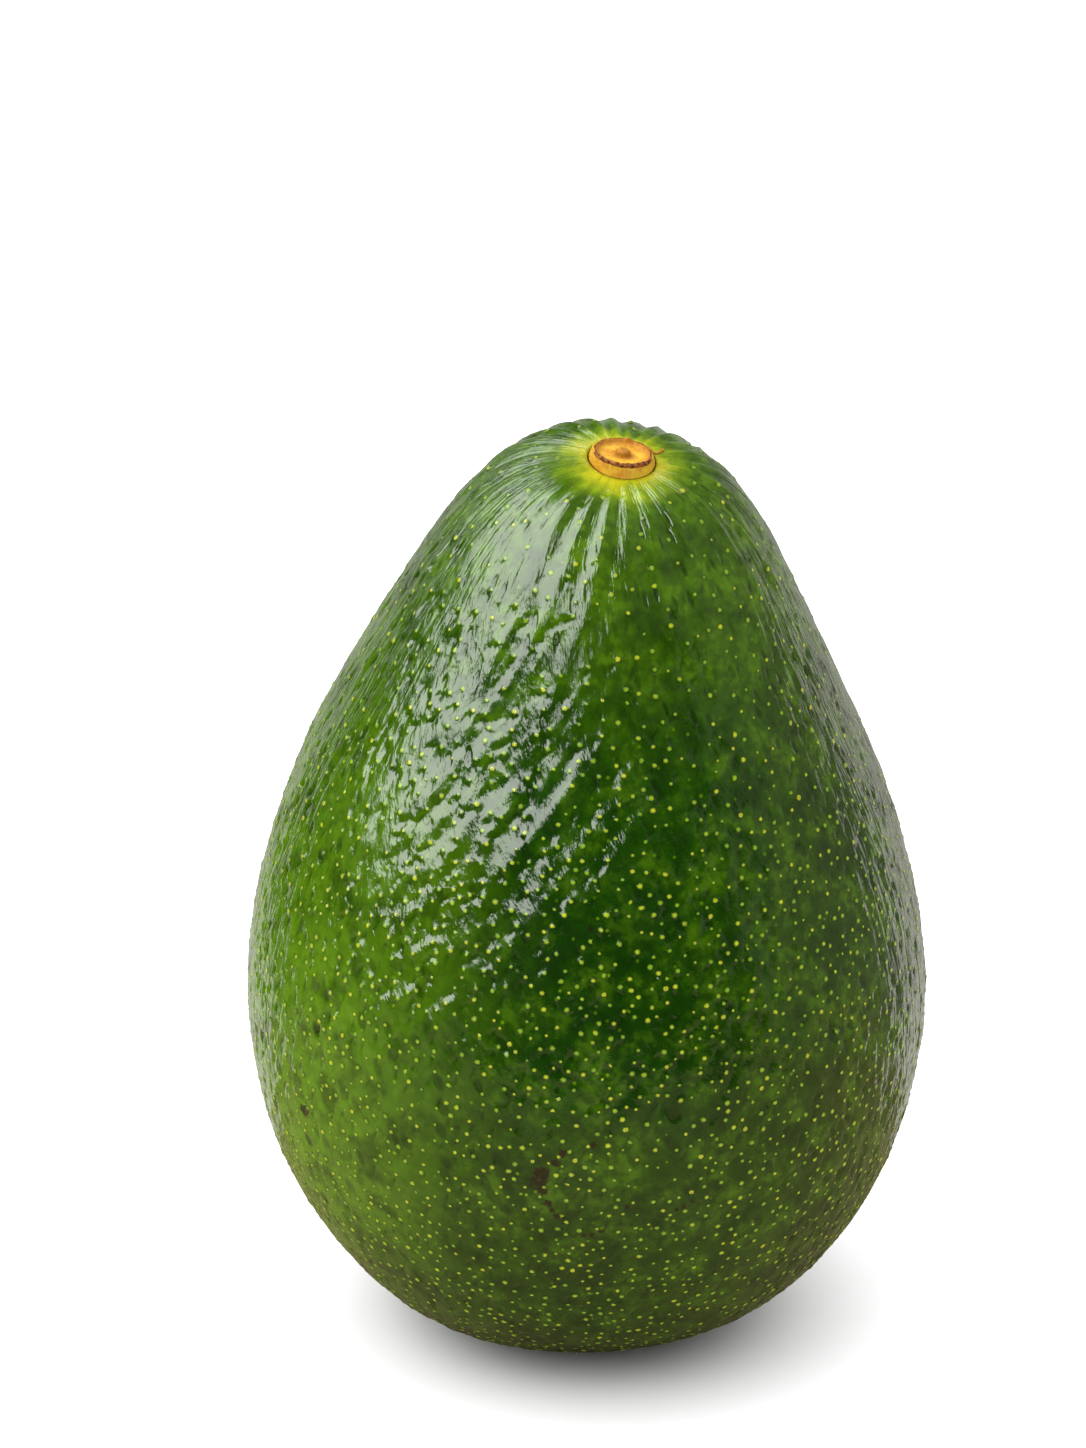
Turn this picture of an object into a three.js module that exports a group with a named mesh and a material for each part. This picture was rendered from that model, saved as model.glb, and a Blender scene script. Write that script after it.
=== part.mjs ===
// An avocado standing on its blunt end, with the stub of its stalk still in the top.
// Millimetres, +Z up. The neck leans towards the front, which faces -Y, and a little to +X.
// Two pieces: the fruit, which grew as one, and the stub, which sits in a shallow seat.

import * as THREE from "three";
import { ConvexHull } from "three/addons/math/ConvexHull.js";

const { degToRad, smoothstep, lerp, clamp } = THREE.MathUtils;

// Driving dimensions of the fruit.
const HALF_WIDTH = 37.5;
const HALF_HEIGHT = 53.8;
const DEPTH_TO_WIDTH = 0.97;
// How full the side is against a plain ellipse, at even angles from stem to base.
const FULLNESS = [0.85, 0.84, 0.775, 0.75, 0.79, 0.875, 0.96, 1.035, 1.09, 1.135, 1.19, 1.185, 1.185];
const SHOULDER_DROP = 1.85;
const SHOULDER_REACH = 9;
const BEND_START = -40;
const BEND_ANGLE = degToRad(17.5);
const BEND_TOWARDS = degToRad(-66.5);
const REST_RADIUS = 11;

// Driving dimensions of the relief on the skin. Radii are from the axis of the stalk.
const FLUTES = 26;
const FLUTE_HEIGHT = 0.3;
const FLUTE_RINGS = [4.6, 5.5, 6.6, 8, 9.7, 11.6, 13.8];
const FLUTES_FADE_FROM = 8;
const FLUTES_END = 18;
const LUMP_HEIGHT = 0.16;
const PEBBLE_HEIGHT = 0.1;
const CALM_ROUND_STALK = 14;
const CALM_ABOVE_REST = 5;
const PIMPLE_HEIGHT = 0.42;
const PIMPLE_SPACING = 3.4;
const SKIN_CELL = 4.6;

// Driving dimensions of the stub and its seat.
const STUB_RADIUS = 3.5;
const STUB_HEIGHT = 1.1;
const STUB_DEPTH = 1.1;
const STUB_SIDES = 48;
const STUB_OUTLINE = [
  [0, -STUB_DEPTH],
  [3.2, -STUB_DEPTH],
  [STUB_RADIUS, -0.8],
  [STUB_RADIUS, 0.1],
  [3.38, 0.45],
  [3.12, 0.8],
  [3.05, 1.05],
  [2.9, STUB_HEIGHT + 0.1],
  [2.68, STUB_HEIGHT],
  [2.5, 0.8],
  [2, 0.6],
  [1.15, 0.57],
  [0.85, 0.75],
  [0.5, 0.97],
  [0, 1.03],
];
// Ripples of the stub's broken rim: how many go round, where they start and how high they are.
const RIM_RIPPLES = [
  [7, 1, 0.07],
  [12, 0, 0.05],
  [19, 0, 0.04],
];
const RIM_PEAK_HEIGHT = 0.3;
const RIM_PEAK_AT = 1.35;
const RIM_PEAK_WIDTH = 0.22;
const SEAT_GAP = 0.3;
const SEAT_RADIUS = (STUB_RADIUS + SEAT_GAP) / DEPTH_TO_WIDTH;
const SEAT_DEPTH = STUB_DEPTH + SEAT_GAP;

const TOP_HEIGHT = HALF_HEIGHT - SHOULDER_DROP;
const BEND_SPAN = TOP_HEIGHT - BEND_START;
const LEAN = new THREE.Vector3(Math.cos(BEND_TOWARDS), Math.sin(BEND_TOWARDS), 0);

// A dice that rolls the same numbers from 0 to 1 each time it starts from the same seed.
function makeDice(seed) {
  let state = seed;
  return () => {
    state = (Math.imul(state, 1664525) + 1013904223) >>> 0;
    return state / 2 ** 32;
  };
}

// Smooth curve through evenly spaced values, mirrored past both ends.
function curveThrough(values, along) {
  const last = values.length - 1;
  const at = (k) => values[last - Math.abs(last - Math.abs(k))];
  const cell = clamp(Math.floor(along * last), 0, last - 1);
  const f = along * last - cell;
  const [a, b, c, d] = [at(cell - 1), at(cell), at(cell + 1), at(cell + 2)];
  return b + 0.5 * f * (c - a + f * (2 * a - 5 * b + 4 * c - d + f * (3 * (b - c) + d - a)));
}

// The side of the upright fruit. The turn runs from 0 at the stem to PI at the base.
function outline(turn) {
  const radius = HALF_WIDTH * Math.sin(turn) * curveThrough(FULLNESS, turn / Math.PI);
  const drop = turn < Math.PI / 2 ? SHOULDER_DROP * Math.exp(-((radius / SHOULDER_REACH) ** 2)) : 0;
  return { radius, height: HALF_HEIGHT * Math.cos(turn) - drop };
}

// Finds the turn at which the outline has a given radius, between two turns.
function turnAt(radius, near, far) {
  let [low, high] = [near, far];
  for (let step = 0; step < 40; step += 1) {
    const middle = (low + high) / 2;
    if (outline(middle).radius < radius) {
      low = middle;
    } else {
      high = middle;
    }
  }
  return low;
}

const REST_TURN = turnAt(REST_RADIUS, Math.PI, Math.PI * 0.75);
const REST_HEIGHT = outline(REST_TURN).height;

// Leans the neck over. Nothing below BEND_START moves, and the top turns by BEND_ANGLE.
function bend(point) {
  const along = Math.max(0, (point.z - BEND_START) / BEND_SPAN);
  const angle = BEND_ANGLE * along ** 2;
  const shift = (BEND_ANGLE * BEND_SPAN * along ** 3) / 3;
  const across = point.dot(LEAN);
  const bent = point.clone().addScaledVector(LEAN, across * (Math.cos(angle) - 1) + shift);
  return bent.setZ(point.z - across * Math.sin(angle));
}

// Waves in seeded directions, which add up to an even, patternless relief.
function makeWaves(seed, count, shortest, longest, upright) {
  const dice = makeDice(seed);
  const waves = [];
  for (let k = 0; k < count; k += 1) {
    const up = 2 * dice() - 1;
    const around = 2 * Math.PI * dice();
    const level = Math.sqrt(1 - up * up);
    const pitch = (2 * Math.PI) / lerp(shortest, longest, dice());
    const push = new THREE.Vector3(level * Math.cos(around), level * Math.sin(around), up * upright);
    waves.push({ push: push.multiplyScalar(pitch), phase: 2 * Math.PI * dice() });
  }
  return waves;
}

function waveHeight(waves, point) {
  let sum = 0;
  for (const { push, phase } of waves) {
    sum += Math.cos(push.dot(point) + phase);
  }
  return sum * Math.sqrt(2 / waves.length);
}

const LUMPS = makeWaves(11, 10, 16, 34, 0.8);
const PEBBLES = makeWaves(23, 18, 4.6, 7.5, 0.55);

// Ridges and valleys by turns round the stem, each with its own place and strength.
function makeFlutes(seed) {
  const dice = makeDice(seed);
  const folds = [];
  for (let k = 0; k < 2 * FLUTES; k += 1) {
    const around = ((k + 0.5 * (dice() - 0.5)) * Math.PI) / FLUTES;
    folds.push({ around, rise: (k % 2 ? -1 : 1) * (0.5 + dice()) });
  }
  return folds;
}

const FOLDS = makeFlutes(37);

function fluteRise(around) {
  const full = 2 * Math.PI;
  const first = FOLDS[0].around;
  const here = ((((around - first) % full) + full) % full) + first;
  let k = FOLDS.length - 1;
  while (k > 0 && FOLDS[k].around > here) {
    k -= 1;
  }
  const low = FOLDS[k];
  const high = FOLDS[(k + 1) % FOLDS.length];
  const end = high.around + (k + 1 === FOLDS.length ? full : 0);
  const mix = 0.5 - 0.5 * Math.cos((Math.PI * (here - low.around)) / (end - low.around));
  return lerp(low.rise, high.rise, mix);
}

// Height of the relief over the smooth fruit: broad lumps, pebbling and the flutes.
function relief(point, radius, around) {
  const clearOfRest = smoothstep(point.z - REST_HEIGHT, 0, CALM_ABOVE_REST);
  const clearOfStalk = point.z > 0 ? smoothstep(radius, SEAT_RADIUS, CALM_ROUND_STALK) : 1;
  const lumps = LUMP_HEIGHT * waveHeight(LUMPS, point);
  const pebbles = PEBBLE_HEIGHT * waveHeight(PEBBLES, point);
  const begin = smoothstep(radius, SEAT_RADIUS, FLUTE_RINGS[1]);
  const fade = 1 - smoothstep(radius, FLUTES_FADE_FROM, FLUTES_END);
  const flutes = point.z > 0 ? FLUTE_HEIGHT * begin * fade * fluteRise(around) : 0;
  return clearOfRest * clearOfStalk * (lumps + pebbles) + flutes;
}

function aroundAxis(radius, around, height) {
  return new THREE.Vector3(radius * Math.cos(around), radius * Math.sin(around) * DEPTH_TO_WIDTH, height);
}

// A point of the skin, with the relief and an extra rise along the outward direction.
function skinPoint(turn, around, rise) {
  const step = 1e-4;
  const { radius, height } = outline(turn);
  const next = outline(turn + step);
  const outward = new THREE.Vector2(height - next.height, next.radius - radius).normalize();
  const point = aroundAxis(radius, around, height);
  const lift = relief(point, radius, around) + rise;
  return aroundAxis(radius + outward.x * lift, around, height + outward.y * lift);
}

// Walks down the outline. Each row notes the skin area above it and where it goes on a
// unit sphere, on which small circles of the skin stay circles, so triangles stay even.
function walkOutline() {
  const steps = 4000;
  const rows = [];
  let area = 0;
  let spread = 0;
  for (let k = 0; k < steps; k += 1) {
    const here = outline((Math.PI * k) / steps);
    const next = outline((Math.PI * (k + 1)) / steps);
    const length = Math.hypot(next.radius - here.radius, next.height - here.height);
    const middle = (here.radius + next.radius) / 2;
    area += 2 * Math.PI * middle * length;
    spread += length / middle;
    rows.push({ turn: (Math.PI * (k + 1)) / steps, area, spread });
  }
  const half = rows[steps / 2].spread;
  for (const row of rows) {
    row.polar = 2 * Math.atan(Math.exp(row.spread - half));
  }
  return rows;
}

const ROWS = walkOutline();

// Reads the walked rows between two of them, by any of their values.
function lookUp(from, value, to) {
  let [low, high] = [0, ROWS.length - 1];
  while (high - low > 1) {
    const middle = (low + high) >> 1;
    if (ROWS[middle][from] < value) {
      low = middle;
    } else {
      high = middle;
    }
  }
  const mix = (value - ROWS[low][from]) / (ROWS[high][from] - ROWS[low][from]);
  return lerp(ROWS[low][to], ROWS[high][to], mix);
}

// The places of the fruit's vertices. Each has a spot on the unit sphere, which decides
// the triangles, and a point on the fruit.
function placeVertices() {
  const dice = makeDice(5);
  const places = [];
  const add = (turn, around, point) => {
    const polar = lookUp("turn", turn, "polar") + 1e-4 * dice();
    const spot = new THREE.Vector3().setFromSphericalCoords(1, polar, around + 1e-4 * dice());
    places.push({ turn, around, point, spot });
  };
  const ring = (count, turn, shape) => {
    for (let k = 0; k < count; k += 1) {
      const around = (2 * Math.PI * k) / count;
      add(turn, around, shape(around));
    }
  };
  const seatTurn = turnAt(SEAT_RADIUS, 0, 1);
  const seatEdge = outline(seatTurn).height;
  const seatFloor = (radius) => (around) => aroundAxis(radius, around, TOP_HEIGHT - SEAT_DEPTH);
  ring(6, seatTurn * 0.4, seatFloor(SEAT_RADIUS * 0.45));
  ring(STUB_SIDES, seatTurn * 0.85, seatFloor(SEAT_RADIUS));
  ring(STUB_SIDES, seatTurn, (around) => aroundAxis(SEAT_RADIUS, around, seatEdge));
  for (const radius of FLUTE_RINGS) {
    const turn = turnAt(radius, 0, 1);
    for (const { around } of FOLDS) add(turn, around, skinPoint(turn, around, 0));
  }
  ring(24, REST_TURN, (around) => aroundAxis(REST_RADIUS, around, REST_HEIGHT));
  ring(8, lerp(REST_TURN, Math.PI, 0.55), (around) => aroundAxis(REST_RADIUS * 0.5, around, REST_HEIGHT));
  return spreadOverSkin(places, add);
}

// Fills the skin between the flutes and the rest spot along a golden-angle spiral.
// Some vertices, kept apart from each other, are the tips of pimples.
function spreadOverSkin(places, add) {
  const dice = makeDice(71);
  const golden = Math.PI * (3 - Math.sqrt(5));
  const margin = Math.sqrt(SKIN_CELL) / 2;
  const startTurn = turnAt(FLUTE_RINGS.at(-1) + margin * 1.5, 0, 1);
  const endTurn = turnAt(REST_RADIUS + margin * 1.5, Math.PI, Math.PI * 0.75);
  const start = lookUp("turn", startTurn, "area");
  const end = lookUp("turn", endTurn, "area");
  const tips = [];
  for (let k = 0; start + k * SKIN_CELL < end; k += 1) {
    const turn = lookUp("area", start + k * SKIN_CELL, "turn");
    const around = (k * golden) % (2 * Math.PI);
    const low = skinPoint(turn, around, 0);
    const isTip = dice() < 0.7 && tips.every((tip) => tip.distanceTo(low) > PIMPLE_SPACING);
    if (isTip) tips.push(low);
    add(turn, around, isTip ? skinPoint(turn, around, PIMPLE_HEIGHT * (0.8 + 0.4 * dice())) : low);
  }
  return places;
}

// Joins the places with triangles: the hull of their spots on the sphere is a closed net.
function buildFruit() {
  const places = placeVertices();
  const indexOf = new Map(places.map(({ spot }, index) => [spot, index]));
  const hull = new ConvexHull().setFromPoints(places.map(({ spot }) => spot));
  const index = [];
  for (const face of hull.faces) {
    for (const corner of [face.getEdge(0), face.getEdge(1), face.getEdge(2)]) {
      index.push(indexOf.get(corner.head().point));
    }
  }
  const geometry = new THREE.BufferGeometry().setFromPoints(places.map(({ point }) => bend(point)));
  geometry.setIndex(index);
  geometry.computeVertexNormals();
  return geometry;
}

// The stub: a plug below the skin, a low cone above it, a thin ragged rim, a dish and,
// in the dish, the small dome where the stalk's core broke off.
function buildStub() {
  const profile = STUB_OUTLINE.map(([radius, height]) => new THREE.Vector2(radius, height));
  const geometry = new THREE.LatheGeometry(profile, STUB_SIDES);
  geometry.rotateX(Math.PI / 2);
  roughenRim(geometry.getAttribute("position"));
  geometry.computeVertexNormals();
  return geometry;
}

// Gives the rim uneven ripples and a peak at its back. The rest of the stub stays round.
function roughenRim(position) {
  const spot = new THREE.Vector3();
  for (let k = 0; k < position.count; k += 1) {
    spot.fromBufferAttribute(position, k);
    const around = Math.atan2(spot.y, spot.x);
    const onRim = smoothstep(Math.hypot(spot.x, spot.y), 2.2, 2.8) * smoothstep(spot.z, 0.3, STUB_HEIGHT);
    let rise = RIM_PEAK_HEIGHT * Math.exp(-(((around - RIM_PEAK_AT) / RIM_PEAK_WIDTH) ** 2));
    for (const [count, start, height] of RIM_RIPPLES) {
      rise += height * Math.cos(count * around + start);
    }
    position.setZ(k, spot.z + onRim * rise);
  }
}

function makeMesh(name, geometry, color, roughness) {
  const material = new THREE.MeshStandardMaterial({ color, roughness, metalness: 0 });
  material.name = name;
  const mesh = new THREE.Mesh(geometry, material);
  mesh.name = name;
  return mesh;
}

// The stub stands on the leaning axis, at the level of the skin round its seat.
function placeStub(stub) {
  const seatHeight = outline(turnAt(SEAT_RADIUS, 0, 1)).height;
  stub.position.copy(bend(new THREE.Vector3(0, 0, TOP_HEIGHT)));
  const tiltAxis = new THREE.Vector3(0, 0, 1).cross(LEAN);
  stub.quaternion.setFromAxisAngle(tiltAxis, BEND_ANGLE);
  stub.translateZ(seatHeight - TOP_HEIGHT);
}

const avocado = new THREE.Group();
avocado.name = "avocado";
avocado.add(makeMesh("fruit", buildFruit(), 0x4d7326, 0.35));
const stub = makeMesh("stem_button", buildStub(), 0xb5832c, 0.6);
placeStub(stub);
avocado.add(stub);

// The origin is under the middle of the whole, on the surface that it rests on.
const box = new THREE.Box3().setFromObject(avocado, true);
const middle = box.getCenter(new THREE.Vector3());
avocado.position.set(-middle.x, -middle.y, -box.min.z);

export default avocado;
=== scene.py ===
# %% [markdown]
# # An avocado that stands on its blunt end
#
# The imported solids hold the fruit's size and main shape. This lesson dresses them: it makes
# the skin and the stub of the stalk anew, in the same place, with far more relief, and gives
# them materials made of nodes alone. Lengths are in metres, +Z is up and the front faces -Y.

import math

import bpy
import numpy as np
from mathutils import Matrix, Vector, geometry, kdtree


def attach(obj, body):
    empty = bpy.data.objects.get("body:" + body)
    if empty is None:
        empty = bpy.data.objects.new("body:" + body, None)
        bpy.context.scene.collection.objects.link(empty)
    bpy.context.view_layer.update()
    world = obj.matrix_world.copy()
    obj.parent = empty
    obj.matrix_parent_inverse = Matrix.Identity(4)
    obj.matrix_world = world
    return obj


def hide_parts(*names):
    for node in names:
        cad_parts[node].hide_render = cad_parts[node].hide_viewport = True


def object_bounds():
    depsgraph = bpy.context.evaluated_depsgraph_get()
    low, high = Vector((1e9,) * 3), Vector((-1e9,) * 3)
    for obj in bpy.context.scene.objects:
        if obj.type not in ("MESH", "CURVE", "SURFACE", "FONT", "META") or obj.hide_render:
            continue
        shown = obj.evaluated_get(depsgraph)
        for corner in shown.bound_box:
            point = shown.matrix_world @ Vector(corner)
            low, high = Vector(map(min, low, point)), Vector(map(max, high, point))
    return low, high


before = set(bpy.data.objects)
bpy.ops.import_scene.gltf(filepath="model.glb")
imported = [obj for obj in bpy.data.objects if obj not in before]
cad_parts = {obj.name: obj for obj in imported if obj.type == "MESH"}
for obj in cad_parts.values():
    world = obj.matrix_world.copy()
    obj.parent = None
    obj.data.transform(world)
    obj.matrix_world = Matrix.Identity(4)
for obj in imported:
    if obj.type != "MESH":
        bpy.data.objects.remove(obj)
solid_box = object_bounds()
MM = 0.001
print("The solids reach from", solid_box[0], "to", solid_box[1])

# %% [markdown]
# ## The outline of the fruit
#
# A fruit swells from a narrow neck to a full belly. A plain ellipse times a smooth curve of
# "fullness" keeps both ends round whatever the numbers are, which a free-hand profile doesn't.
# The solids use the same few numbers, so the new skin lies on them.

# %% Outline and its numbers
HALF_WIDTH = 37.5 * MM
HALF_HEIGHT = 53.8 * MM
DEPTH_TO_WIDTH = 0.97
# How full the side is against a plain ellipse, at even angles from stem to base.
FULLNESS = np.array([0.85, 0.84, 0.775, 0.75, 0.79, 0.875, 0.96, 1.035, 1.09, 1.135, 1.19, 1.185, 1.185])
SHOULDER_DROP = 1.85 * MM
SHOULDER_REACH = 9 * MM
TOP_HEIGHT = HALF_HEIGHT - SHOULDER_DROP


def curve_through(values, along):
    """Smooth curve through evenly spaced values, mirrored past both ends."""
    last = len(values) - 1
    count = np.asarray(along) * last
    cell = np.clip(np.floor(count).astype(int), 0, last - 1)
    f = count - cell
    a, b, c, d = (values[last - abs(last - abs(cell + k))] for k in (-1, 0, 1, 2))
    return b + 0.5 * f * (c - a + f * (2 * a - 5 * b + 4 * c - d + f * (3 * (b - c) + d - a)))


def outline(turn):
    """Radius and height of the upright fruit's side, for turns from 0 at the stem to pi."""
    radius = HALF_WIDTH * np.sin(turn) * curve_through(FULLNESS, turn / np.pi)
    drop = SHOULDER_DROP * np.exp(-((radius / SHOULDER_REACH) ** 2)) * (turn < np.pi / 2)
    return radius, HALF_HEIGHT * np.cos(turn) - drop


def smooth(value, low, high):
    """Rises smoothly from 0 at low to 1 at high."""
    f = np.clip((value - low) / (high - low), 0, 1)
    return f * f * (3 - 2 * f)


widest = outline(np.linspace(0, np.pi, 200))[0].max()
print("Widest radius in millimetres:", round(widest / MM, 1))

# %% [markdown]
# ## A walk down the outline
#
# To scatter things evenly over a curved skin, one needs to know how much skin lies above each
# point. The walk adds that up. It also adds up length over radius: that number is the radius,
# as a power of e, of a flat map on which small circles of the skin stay circles. Triangles
# that are even on such a map are even on the fruit.

# %% Walk and look-ups
WALK = np.linspace(0, np.pi, 6001)
WALK_RADIUS, WALK_HEIGHT = outline(WALK)
step_length = np.hypot(np.diff(WALK_RADIUS), np.diff(WALK_HEIGHT))
step_radius = (WALK_RADIUS[1:] + WALK_RADIUS[:-1]) / 2
WALK_AREA = np.concatenate([[0], np.cumsum(2 * np.pi * step_radius * step_length)])
WALK_SPREAD = np.concatenate([[0], np.cumsum(step_length / step_radius)])
WALK_SPREAD -= WALK_SPREAD[3000]
WALK_LENGTH = np.concatenate([[0], np.cumsum(step_length)])
WALK_SPEED = np.gradient(WALK_LENGTH, WALK)
NECK = slice(0, 2000)
BASE = slice(6000, 4500, -1)


def turn_at(radius, stretch):
    """The turn at which the outline has a given radius, on a stretch of the walk."""
    return np.interp(radius, WALK_RADIUS[stretch], WALK[stretch])


REST_RADIUS = 11 * MM
REST_TURN = turn_at(REST_RADIUS, BASE)
REST_HEIGHT = outline(REST_TURN)[1]
print("Skin area in square centimetres:", round(WALK_AREA[-1] * 1e4, 1))

# %% [markdown]
# ## The leaning neck
#
# Real fruits hang on a stalk and grow a little crooked. The neck leans towards the front. A
# bend that starts low and tightens upwards looks grown, while a plain tilt looks broken.

# %% Bend and standing place
BEND_START = -40 * MM
BEND_ANGLE = math.radians(17.5)
BEND_TOWARDS = math.radians(-66.5)
LEAN = np.array([math.cos(BEND_TOWARDS), math.sin(BEND_TOWARDS), 0])
solid_fruit = np.array([v.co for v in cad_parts["fruit"].data.vertices])
rest_spot = solid_fruit[solid_fruit[:, 2] < 0.001 * MM]
REST_CENTRE = (rest_spot.min(0) + rest_spot.max(0)) / 2
STAND = np.array([REST_CENTRE[0], REST_CENTRE[1], -REST_HEIGHT])


def bend(points):
    """Leans the neck over. Nothing below BEND_START moves."""
    span = TOP_HEIGHT - BEND_START
    along = np.clip((points[:, 2] - BEND_START) / span, 0, None)
    angle = BEND_ANGLE * along**2
    shift = BEND_ANGLE * span * along**3 / 3
    across = points @ LEAN
    bent = points + np.outer(across * (np.cos(angle) - 1) + shift, LEAN)
    bent[:, 2] = points[:, 2] - across * np.sin(angle)
    return bent


def around_axis(radius, around, height):
    return np.stack([radius * np.cos(around), radius * np.sin(around) * DEPTH_TO_WIDTH, height], axis=-1)


def smooth_point(turn, around):
    """Place on the upright fruit, before relief and lean."""
    radius, height = outline(turn)
    return around_axis(radius, around, height)


stalk_top = bend(np.array([[0, 0, TOP_HEIGHT]]))[0] + STAND
print("The stalk stands at", stalk_top.round(4))

# %% [markdown]
# ## Relief of the skin
#
# Six kinds of relief make up this skin: broad lumps, pebbling, slanting ripples, finer grit,
# rows of slanting ridges and folds round the stalk. All but the folds are sums of waves in
# seeded directions, which are even and show no pattern. Waves pressed flat along a grain give
# long ripples. The lumps, pebbles and folds roll the same dice as the solids do. Ripples and grit
# are strongest in one patch at the front, left of the middle, and the rows within it.

# %% Dice, waves and folds
FLUTES = 26


def make_dice(seed):
    """A dice that rolls the same numbers from 0 to 1 each time it starts from one seed."""
    state = seed

    def roll():
        nonlocal state
        state = (state * 1664525 + 1013904223) % 2**32
        return state / 2**32

    return roll


def make_waves(seed, count, shortest, longest, along, grain=(0, 0, 1)):
    """Waves as (push, phase). Along the grain they are 1/along times as long."""
    roll = make_dice(seed)
    grain = np.array(grain) / np.linalg.norm(grain)
    waves = []
    for _ in range(count):
        up = 2 * roll() - 1
        around = 2 * math.pi * roll()
        level = math.sqrt(1 - up * up)
        pitch = 2 * math.pi / (shortest + (longest - shortest) * roll())
        push = np.array([level * math.cos(around), level * math.sin(around), up])
        push = (push - grain * (push @ grain) * (1 - along)) * pitch
        waves.append((push, 2 * math.pi * roll()))
    return waves


def wave_height(waves, points):
    total = sum(np.cos(points @ push + phase) for push, phase in waves)
    return total * math.sqrt(2 / len(waves))


def make_folds(seed):
    """Where the ridges and valleys round the stalk lie, and how strong each is."""
    roll = make_dice(seed)
    places = []
    rises = []
    for k in range(2 * FLUTES):
        places.append((k + 0.5 * (roll() - 0.5)) * math.pi / FLUTES)
        rises.append((-1 if k % 2 else 1) * (0.5 + roll()))
    places.append(places[0] + 2 * math.pi)
    rises.append(rises[0])
    return np.array(places), np.array(rises)


FOLD_PLACES, FOLD_RISES = make_folds(37)


def fold_rise(around):
    """Height of the folds at an angle round the stalk, about -1.5 to 1.5."""
    here = (around - FOLD_PLACES[0]) % (2 * np.pi) + FOLD_PLACES[0]
    count = np.interp(here, FOLD_PLACES, np.arange(len(FOLD_PLACES)))
    k = np.minimum(count.astype(int), len(FOLD_PLACES) - 2)
    share = 0.5 - 0.5 * np.cos(np.pi * (count - k))
    return FOLD_RISES[k] + (FOLD_RISES[k + 1] - FOLD_RISES[k]) * share


print("Ridges and valleys round the stalk:", len(FOLD_RISES) - 1)

# %% Sizes of the relief
SEAT_RADIUS = 3.66 * MM
SEAT_TURN = turn_at(SEAT_RADIUS, NECK)
SEAT_LEVEL = outline(SEAT_TURN)[1]
SLANT = (0.36, 0, 0.93)
LUMPS = make_waves(11, 10, 16 * MM, 34 * MM, 0.8)
PEBBLES = make_waves(23, 18, 4.6 * MM, 7.5 * MM, 0.55)
RIPPLES = make_waves(31, 40, 1.8 * MM, 3.1 * MM, 0.16, SLANT)
GRIT = make_waves(67, 40, 1.3 * MM, 2.1 * MM, 0.22, SLANT)
ROWS = make_waves(83, 16, 2.5 * MM, 3.6 * MM, 0.16, (0.42, 0, 0.91))
CALM = make_waves(59, 8, 26 * MM, 48 * MM, 0.8)
LUMP_HEIGHT = 0.11 * MM
PEBBLE_HEIGHT = 0.016 * MM
RIPPLE_HEIGHT = 0.055 * MM
GRIT_HEIGHT = 0.04 * MM
ROW_HEIGHT = 0.13 * MM
FOLD_HEIGHT = 0.14 * MM
DRUM_RADIUS = 30 * MM
ROUGH_CENTRE = np.array([-8, -27, 18]) * MM
ROUGH_REACH = 26 * MM
ROW_CENTRE = np.array([-4, -29, 18]) * MM
ROW_REACH = 14 * MM
TINY_TURN = 1e-4


def roughness_at(points):
    """How rough the skin is at each point, 0.3 to 1."""
    patch = np.exp(-((points - ROUGH_CENTRE) ** 2).sum(1) / ROUGH_REACH**2)
    chance = smooth(wave_height(CALM, points), -0.9, 0.9)
    return 0.3 + 0.3 * chance + 0.4 * patch


def unrolled(turn, around):
    """Place on a straight drum as long as the skin. A grain there runs true down to the base."""
    down = np.interp(turn, WALK, WALK_LENGTH)
    return np.stack([DRUM_RADIUS * np.cos(around), DRUM_RADIUS * np.sin(around), -down], axis=-1)


print("Waves in the relief:", sum(map(len, (LUMPS, PEBBLES, RIPPLES, GRIT, ROWS))))


# %% The relief itself
def relief(turn, around):
    """Height over the smooth fruit."""
    radius, level = outline(turn)
    points = around_axis(radius, around, level)
    drum = unrolled(turn, around)
    near_top = points[:, 2] > 0
    clear_of_rest = smooth(points[:, 2] - REST_HEIGHT, 0, 5 * MM)
    clear_of_stalk = np.where(near_top, smooth(radius, SEAT_RADIUS, 14 * MM), 1)
    clear = clear_of_rest * clear_of_stalk
    height = LUMP_HEIGHT * wave_height(LUMPS, points) + PEBBLE_HEIGHT * wave_height(PEBBLES, points)
    rough = RIPPLE_HEIGHT * wave_height(RIPPLES, drum) + GRIT_HEIGHT * wave_height(GRIT, drum)
    rows = 0.15 + 0.85 * np.exp(-((points - ROW_CENTRE) ** 2).sum(1) / ROW_REACH**2)
    ridges = np.maximum(wave_height(ROWS, drum), 0) ** 1.3
    height = height + roughness_at(points) * rough + ROW_HEIGHT * rows * ridges
    folds = smooth(radius, SEAT_RADIUS, 5.5 * MM) * (1 - smooth(radius, 9 * MM, 22 * MM)) * near_top
    return clear * height + FOLD_HEIGHT * folds * fold_rise(around)


def skin_points(turn, around, rise):
    """Points of the skin in place, with the relief and an extra rise."""
    radius, height = outline(turn)
    next_radius, next_height = outline(turn + TINY_TURN)
    outward = np.stack([height - next_height, next_radius - radius], axis=-1)
    outward /= np.linalg.norm(outward, axis=1, keepdims=True)
    lift = relief(turn, around) + rise * smooth(height - REST_HEIGHT, 0, 1.5 * MM)
    points = around_axis(radius + outward[:, 0] * lift, around, height + outward[:, 1] * lift)
    points[:, 2] = np.maximum(points[:, 2], REST_HEIGHT)
    return np.clip(bend(points) + STAND, *solid_box)


down_front = relief(np.linspace(0.5, 2.5, 400), np.full(400, -np.pi / 2)) / MM
print("Relief down the front, in millimetres:", down_front.min().round(2), "to", down_front.max().round(2))

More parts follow.
